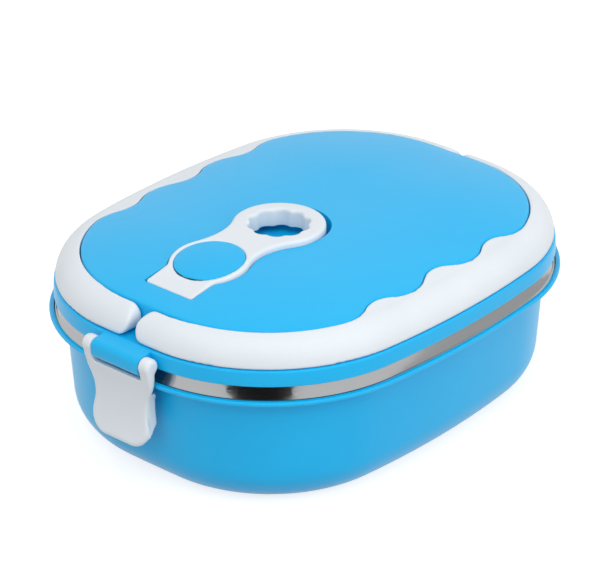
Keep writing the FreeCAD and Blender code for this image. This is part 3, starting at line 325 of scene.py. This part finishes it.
# Latches: two white clips with ears on the lid's barrels, one at each end of the box.
# Each swings on a steel pin and hooks under the rim. The lobes at its sides are deepest low down,
# and a slot parts its plate from the barrel.
LOBE_FRONT = 107 * MM
LOBE_LOW = 27 * MM
LOBE_FULL = 38.5 * MM
LOBE_HIGH = 44 * MM
LOBE_DROP = 6 * MM
LOBE_GROWTH = 1.0 * MM
SLOT_BOTTOM = 53.9 * MM
SLOT_DROP = 0.7 * MM
LATCH_MESH = 0.34 * MM
LATCH_EASING = 22
for end in ("front", "rear"):
    latch = node_piece(f"{end}_latch", f"latch_{end}", white_plastic)
    for vertex in latch.data.vertices:
        if abs(vertex.co.z - SLOT_BOTTOM) < LEVEL:
            vertex.co.z -= SLOT_DROP
        if abs(vertex.co.x) < LOBE_FRONT and LOBE_LOW < vertex.co.z < LOBE_HIGH:
            up = (vertex.co.z - LOBE_LOW) / (LOBE_FULL - LOBE_LOW)
            down = (LOBE_HIGH - vertex.co.z) / (LOBE_HIGH - LOBE_FULL)
            vertex.co.z -= LOBE_DROP * min(up, down)
            vertex.co.x -= math.copysign(LOBE_GROWTH * min(up, down), vertex.co.x)
    ease(latch, LATCH_EASING, LATCH_MESH)
    node_piece(f"{end}_latch_pin", f"latch_pin_{end}", pin_steel)

# Vent lever: a white lever let into the panel, hinged on a pin at its square tab.
# Its head has a scalloped finger hole, and its middle is a cup that holds the vent button.
# The lever stands proud at its head and runs down to the panel at its tab.
LEVER_NECK_X = -42 * MM
LEVER_TAB_X = -79 * MM
LEVER_PIN_TOP = 76.4 * MM
LEVER_CROWN = (81.8 * MM, 78.9 * MM)
TAB_DROP = 2.45 * MM
HEAD_X = -17.2 * MM
HEAD_REACH = 19 * MM
HEAD_FOOT = 74.4 * MM
HOLE_RADIUS = 11 * MM
HOLE_RIM = 16 * MM
HOLE_GROWTH = 1.5 * MM
BUTTON_X = -57 * MM
CUP_RADIUS = 14.8 * MM
CUP_TRIM = 0.8 * MM
LEVER_MESH = 0.34 * MM
LEVER_EASING = 5
lever = node_piece("vent_lever", "lever", white_plastic)
for vertex in lever.data.vertices:
    along = (LEVER_NECK_X - vertex.co.x) / (LEVER_NECK_X - LEVER_TAB_X)
    crown = LEVER_CROWN[0] + (LEVER_CROWN[1] - LEVER_CROWN[0]) * along
    height = (vertex.co.z - LEVER_PIN_TOP) / (crown - LEVER_PIN_TOP)
    vertex.co.z -= TAB_DROP * max(along, 0) ** 2 * max(height, 0)
    from_hole = Vector((vertex.co.x - HEAD_X, vertex.co.y, 0))
    if from_hole.length < HEAD_REACH:
        vertex.co.z = max(vertex.co.z, HEAD_FOOT)
    near = min((HOLE_RIM - from_hole.length) / (HOLE_RIM - HOLE_RADIUS), 1)
    vertex.co += from_hole.normalized() * HOLE_GROWTH * max(near, 0)
    from_button = Vector((vertex.co.x - BUTTON_X, vertex.co.y, 0))
    if abs(from_button.length - CUP_RADIUS) < LEVEL:
        vertex.co -= from_button.normalized() * CUP_TRIM
ease(lever, LEVER_EASING, LEVER_MESH)
node_piece("vent_lever_pin", "lever_pin", pin_steel)

# Vent button: a low blue dome in the lever's cup, with its top tilted to follow the lever.
# A silicone plug sits on its stem, and the spring under it flattens as the button goes down.
BUTTON_CAP = 10 * MM
BUTTON_TRIM = 0.6 * MM
BUTTON_SIDE_Z = 79.0 * MM
BUTTON_SINK = 0.6 * MM
BUTTON_SLOPE = 0.118
BUTTON_FOOT_SHARE = 0.2
BUTTON_MESH = 0.3 * MM
BUTTON_EASING = 8
button = node_piece("vent_button", "button", blue_plastic)
for vertex in button.data.vertices:
    out = Vector((vertex.co.x - BUTTON_X, vertex.co.y, 0))
    if vertex.co.z > BUTTON_SIDE_Z:
        vertex.co.z += BUTTON_SLOPE * out.x - BUTTON_SINK
    elif out.length > BUTTON_CAP:
        vertex.co.z += min(BUTTON_SLOPE * out.x, 0) * BUTTON_FOOT_SHARE
    if out.length > BUTTON_CAP:
        vertex.co -= out.normalized() * BUTTON_TRIM
ease(button, BUTTON_EASING, BUTTON_MESH)
node_piece("vent_plug", "button_plug", silicone)
spring = node_piece("vent_spring", "button_spring", pin_steel)
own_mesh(spring)

# Studio: a white floor that runs out of sight under a white sky, and three soft lamps.
# The eye and the reflections see both whiter than they shine on the box.
# From below the floor is clear, so that the box's underside can be looked at.
FLOOR_HALF = 3.0
FLOOR_Z = -0.05 * MM
FLOOR_WHITE = "#B6B6B6"
FLOOR_ROUGHNESS = 0.9
FLOOR_LIFT = 0.76
SKY_WHITE = "#FFFFFF"
SKY_STRENGTH = 0.62


def flat(name, corners):
    """A flat sheet between four corners."""
    mesh = bpy.data.meshes.new(name)
    mesh.from_pydata(corners, [], [(0, 1, 2, 3)])
    return put(name, mesh)


def seen(tree):
    """One where the eye looks at a surface, straight or in a reflection, and zero elsewhere."""
    rays = add(tree, "ShaderNodeLightPath").outputs
    looks = add(tree, "ShaderNodeMath", {0: rays["Is Camera Ray"], 1: rays["Is Glossy Ray"]},
                operation="MAXIMUM")
    looks = add(tree, "ShaderNodeMath",
                {0: looks.outputs["Value"], 1: rays["Is Transmission Ray"]}, operation="MAXIMUM")
    return looks.outputs["Value"]


def grey(level):
    """A neutral light of some level, as linear RGBA."""
    return (level, level, level, 1.0)


def lamp(name, place, aim, size, power):
    """A square soft box at a place, turned to aim and kept out of the reflections."""
    data = bpy.data.lights.new(name, "AREA")
    data.size = size
    data.energy = power
    soft_box = put(name, data)
    soft_box.location = place
    soft_box.visible_glossy = False
    soft_box.rotation_euler = (Vector(aim) - Vector(place)).to_track_quat("-Z", "Y").to_euler()


floor = flat("floor", [(-FLOOR_HALF, -FLOOR_HALF, FLOOR_Z), (FLOOR_HALF, -FLOOR_HALF, FLOOR_Z),
                       (FLOOR_HALF, FLOOR_HALF, FLOOR_Z), (-FLOOR_HALF, FLOOR_HALF, FLOOR_Z)])
# Matt paper: an even white with no highlight, which keeps the box's shadow.
paper, tree, shader = new_material("white_paper")
shader.inputs["Base Color"].default_value = linear(FLOOR_WHITE)
shader.inputs["Roughness"].default_value = FLOOR_ROUGHNESS
shader.inputs["Specular IOR Level"].default_value = 0.0
lift = add(tree, "ShaderNodeEmission", {"Strength": seen(tree)}, {"Color": grey(FLOOR_LIFT)})
both = add(tree, "ShaderNodeAddShader",
           {0: shader.outputs["BSDF"], 1: lift.outputs["Emission"]})
below = add(tree, "ShaderNodeNewGeometry").outputs["Backfacing"]
clear = add(tree, "ShaderNodeBsdfTransparent").outputs["BSDF"]
one_way = add(tree, "ShaderNodeMixShader", {0: below, 1: both.outputs["Shader"], 2: clear})
tree.links.new(one_way.outputs["Shader"], tree.nodes["Material Output"].inputs["Surface"])
floor.data.materials.append(paper)

world = bpy.data.worlds.new("studio")
bpy.context.scene.world = world
world.use_nodes = True
tree = world.node_tree
background = tree.nodes["Background"]
strength = add(tree, "ShaderNodeMapRange", {"Value": seen(tree)},
               {"To Min": SKY_STRENGTH, "To Max": 1.0})
tree.links.new(strength.outputs["Result"], background.inputs["Strength"])
background.inputs["Color"].default_value = linear(SKY_WHITE)

lamp("overhead", place=(-0.45, -0.4, 1.05), aim=(0, 0, 0.05), size=0.9, power=3.9)
lamp("front_left", place=(-1.2, -0.3, 0.7), aim=(0, 0, 0.04), size=0.8, power=2.2)
lamp("front_right", place=(0.3, -1.3, 0.6), aim=(0, 0, 0.04), size=0.8, power=5.2)

# Cards: two upright sheets that glow with a set tone and are met only in reflections, most of all
# in the steel, as painted reflections. The dark one stands behind the camera and paints the steel's
# dark patch; the grey one stands to its right and paints grey into the band there. Each has the
# azimuths of its two sides, in degrees, and its light.
CARD_DISTANCE = 1.6
CARD_LOW = 0.1
CARD_HIGH = 2.8
CARDS = {"dark_reflection_card": (-167, -124, 0.014), "grey_reflection_card": (-54, -5, 0.64)}
for name, (*sides, light) in CARDS.items():
    left, right = [(CARD_DISTANCE * math.cos(angle), CARD_DISTANCE * math.sin(angle))
                   for angle in map(math.radians, sides)]
    card = flat(name, [(*left, CARD_LOW), (*right, CARD_LOW),
                       (*right, CARD_HIGH), (*left, CARD_HIGH)])
    card.visible_camera = card.visible_diffuse = False
    card.visible_shadow = card.visible_transmission = False
    # Painted reflection: a flat glow of one tone, lit by nothing, seen only in reflections.
    painted_reflection, tree, _ = new_material(f"{name}_felt")
    tone = add(tree, "ShaderNodeEmission", values={"Color": grey(light)})
    tree.links.new(tone.outputs["Emission"], tree.nodes["Material Output"].inputs["Surface"])
    card.data.materials.append(painted_reflection)

# Camera: a long lens, a little above the box.
# It looks at the box over the corner beside the front latch, as the photo does.
VIEW_AZIMUTH = 0.846
VIEW_ELEVATION = 0.473
VIEW_ROLL = -0.004
VIEW_DISTANCE = 1200 * MM
AIM = Vector((-0.8, 3.7, 43.7)) * MM
LENS_MM = 179.7
SENSOR_MM = 36.0
back = Vector((-math.sin(VIEW_AZIMUTH) * math.cos(VIEW_ELEVATION),
               -math.cos(VIEW_AZIMUTH) * math.cos(VIEW_ELEVATION),
               math.sin(VIEW_ELEVATION)))
right = Vector((math.cos(VIEW_AZIMUTH), -math.sin(VIEW_AZIMUTH), 0))
up = back.cross(right)
camera_data = bpy.data.cameras.new("camera")
camera_data.lens = LENS_MM
camera_data.sensor_width = SENSOR_MM
camera = put("camera", camera_data)
turn = Matrix((right, up, back)).transposed().to_4x4() @ Matrix.Rotation(VIEW_ROLL, 4, "Z")
camera.matrix_world = Matrix.Translation(AIM + back * VIEW_DISTANCE) @ turn
bpy.context.scene.camera = camera
bpy.context.scene.view_settings.view_transform = "Standard"
